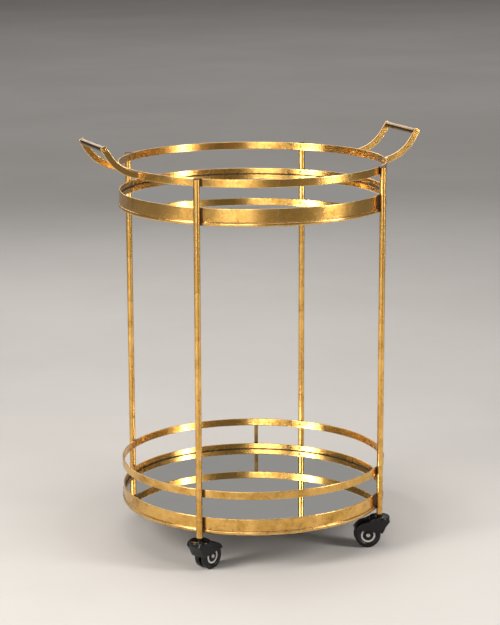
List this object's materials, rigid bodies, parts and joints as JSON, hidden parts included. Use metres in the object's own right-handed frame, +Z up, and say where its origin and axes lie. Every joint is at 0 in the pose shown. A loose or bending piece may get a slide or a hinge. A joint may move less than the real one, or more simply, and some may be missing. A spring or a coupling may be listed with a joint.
{
  "type": "bar cart",
  "caption": "Round two-tier serving cart with mirror trays, gallery rails, tube posts, bail handles and twin-wheel swivel casters.",
  "frame": {"origin": "on the floor, under the centre of the round trays", "axes": "+Z up, +X towards the right-hand handle, +Y to the back"},
  "size_m": [0.6578, 0.5206, 0.8001],
  "materials": {
    "gold_leaf": "satin gold leaf, mottled and lightly worn",
    "screws": "satin",
    "mirror": "polished",
    "backing_board": "black painted",
    "post_plug": "dark moulded",
    "black_plastic": "moulded, semi-gloss",
    "wheel_black": "moulded",
    "steel": "satin"
  },
  "bodies": {
    "frame": {"lower_tray_ring": "gold_leaf", "upper_tray_ring": "gold_leaf", "lower_gallery_rail": "gold_leaf", "upper_gallery_rail": "gold_leaf", "lower_mirror": "mirror", "upper_mirror": "mirror", "lower_backing_board": "backing_board", "upper_backing_board": "backing_board", "rail_stay": "gold_leaf", "grip_left": "gold_leaf", "grip_right": "gold_leaf", "handle_arm_left_front": "gold_leaf", "arm_screw_left_front": "screws", "grip_screw_left_front": "screws", "handle_arm_left_back": "gold_leaf", "arm_screw_left_back": "screws", "grip_screw_left_back": "screws", "handle_arm_right_front": "gold_leaf", "arm_screw_right_front": "screws", "grip_screw_right_front": "screws", "handle_arm_right_back": "gold_leaf", "arm_screw_right_back": "screws", "grip_screw_right_back": "screws", "post_front_left": "gold_leaf", "post_cap_front_left": "post_plug", "stem_socket_front_left": "black_plastic", "caster_stem_front_left": "steel", "post_front_right": "gold_leaf", "post_cap_front_right": "post_plug", "stem_socket_front_right": "black_plastic", "caster_stem_front_right": "steel", "post_back_left": "gold_leaf", "post_cap_back_left": "post_plug", "stem_socket_back_left": "black_plastic", "caster_stem_back_left": "steel", "post_back_right": "gold_leaf", "post_cap_back_right": "post_plug", "stem_socket_back_right": "black_plastic", "caster_stem_back_right": "steel"},
    "swivel_front_left": {"caster_hood_front_left": "black_plastic", "caster_axle_front_left": "steel"},
    "wheel_front_left_a": {"wheel_front_left_a": "wheel_black"},
    "wheel_front_left_b": {"wheel_front_left_b": "wheel_black"},
    "swivel_front_right": {"caster_hood_front_right": "black_plastic", "caster_axle_front_right": "steel"},
    "wheel_front_right_a": {"wheel_front_right_a": "wheel_black"},
    "wheel_front_right_b": {"wheel_front_right_b": "wheel_black"},
    "swivel_back_left": {"caster_hood_back_left": "black_plastic", "caster_axle_back_left": "steel"},
    "wheel_back_left_a": {"wheel_back_left_a": "wheel_black"},
    "wheel_back_left_b": {"wheel_back_left_b": "wheel_black"},
    "swivel_back_right": {"caster_hood_back_right": "black_plastic", "caster_axle_back_right": "steel"},
    "wheel_back_right_a": {"wheel_back_right_a": "wheel_black"},
    "wheel_back_right_b": {"wheel_back_right_b": "wheel_black"}
  },
  "joints": [
    {"name": "swivel_front_left", "type": "hinge", "parent": "frame", "child": "swivel_front_left", "pos_m": [-0.18851, -0.18851, 0.06], "axis": [0, 0, 1], "continuous": true},
    {"name": "roll_front_left_a", "type": "hinge", "parent": "swivel_front_left", "child": "wheel_front_left_a", "pos_m": [-0.16723, -0.17743, 0.025], "axis": [-0.4617, 0.887, 0], "continuous": true},
    {"name": "roll_front_left_b", "type": "hinge", "parent": "swivel_front_left", "child": "wheel_front_left_b", "pos_m": [-0.16723, -0.17743, 0.025], "axis": [-0.4617, 0.887, 0], "continuous": true},
    {"name": "swivel_front_right", "type": "hinge", "parent": "frame", "child": "swivel_front_right", "pos_m": [0.18851, -0.18851, 0.06], "axis": [0, 0, 1], "continuous": true},
    {"name": "roll_front_right_a", "type": "hinge", "parent": "swivel_front_right", "child": "wheel_front_right_a", "pos_m": [0.16533, -0.1823, 0.025], "axis": [-0.2588, -0.9659, 0], "continuous": true},
    {"name": "roll_front_right_b", "type": "hinge", "parent": "swivel_front_right", "child": "wheel_front_right_b", "pos_m": [0.16533, -0.1823, 0.025], "axis": [-0.2588, -0.9659, 0], "continuous": true},
    {"name": "swivel_back_left", "type": "hinge", "parent": "frame", "child": "swivel_back_left", "pos_m": [-0.18851, 0.18851, 0.06], "axis": [0, 0, 1], "continuous": true},
    {"name": "roll_back_left_a", "type": "hinge", "parent": "swivel_back_left", "child": "wheel_back_left_a", "pos_m": [-0.16659, 0.17875, 0.025], "axis": [0.4067, 0.9135, 0], "continuous": true},
    {"name": "roll_back_left_b", "type": "hinge", "parent": "swivel_back_left", "child": "wheel_back_left_b", "pos_m": [-0.16659, 0.17875, 0.025], "axis": [0.4067, 0.9135, 0], "continuous": true},
    {"name": "swivel_back_right", "type": "hinge", "parent": "frame", "child": "swivel_back_right", "pos_m": [0.18851, 0.18851, 0.06], "axis": [0, 0, 1], "continuous": true},
    {"name": "roll_back_right_a", "type": "hinge", "parent": "swivel_back_right", "child": "wheel_back_right_a", "pos_m": [0.16544, 0.1819, 0.025], "axis": [0.2756, -0.9613, 0], "continuous": true},
    {"name": "roll_back_right_b", "type": "hinge", "parent": "swivel_back_right", "child": "wheel_back_right_b", "pos_m": [0.16544, 0.1819, 0.025], "axis": [0.2756, -0.9613, 0], "continuous": true}
  ]
}
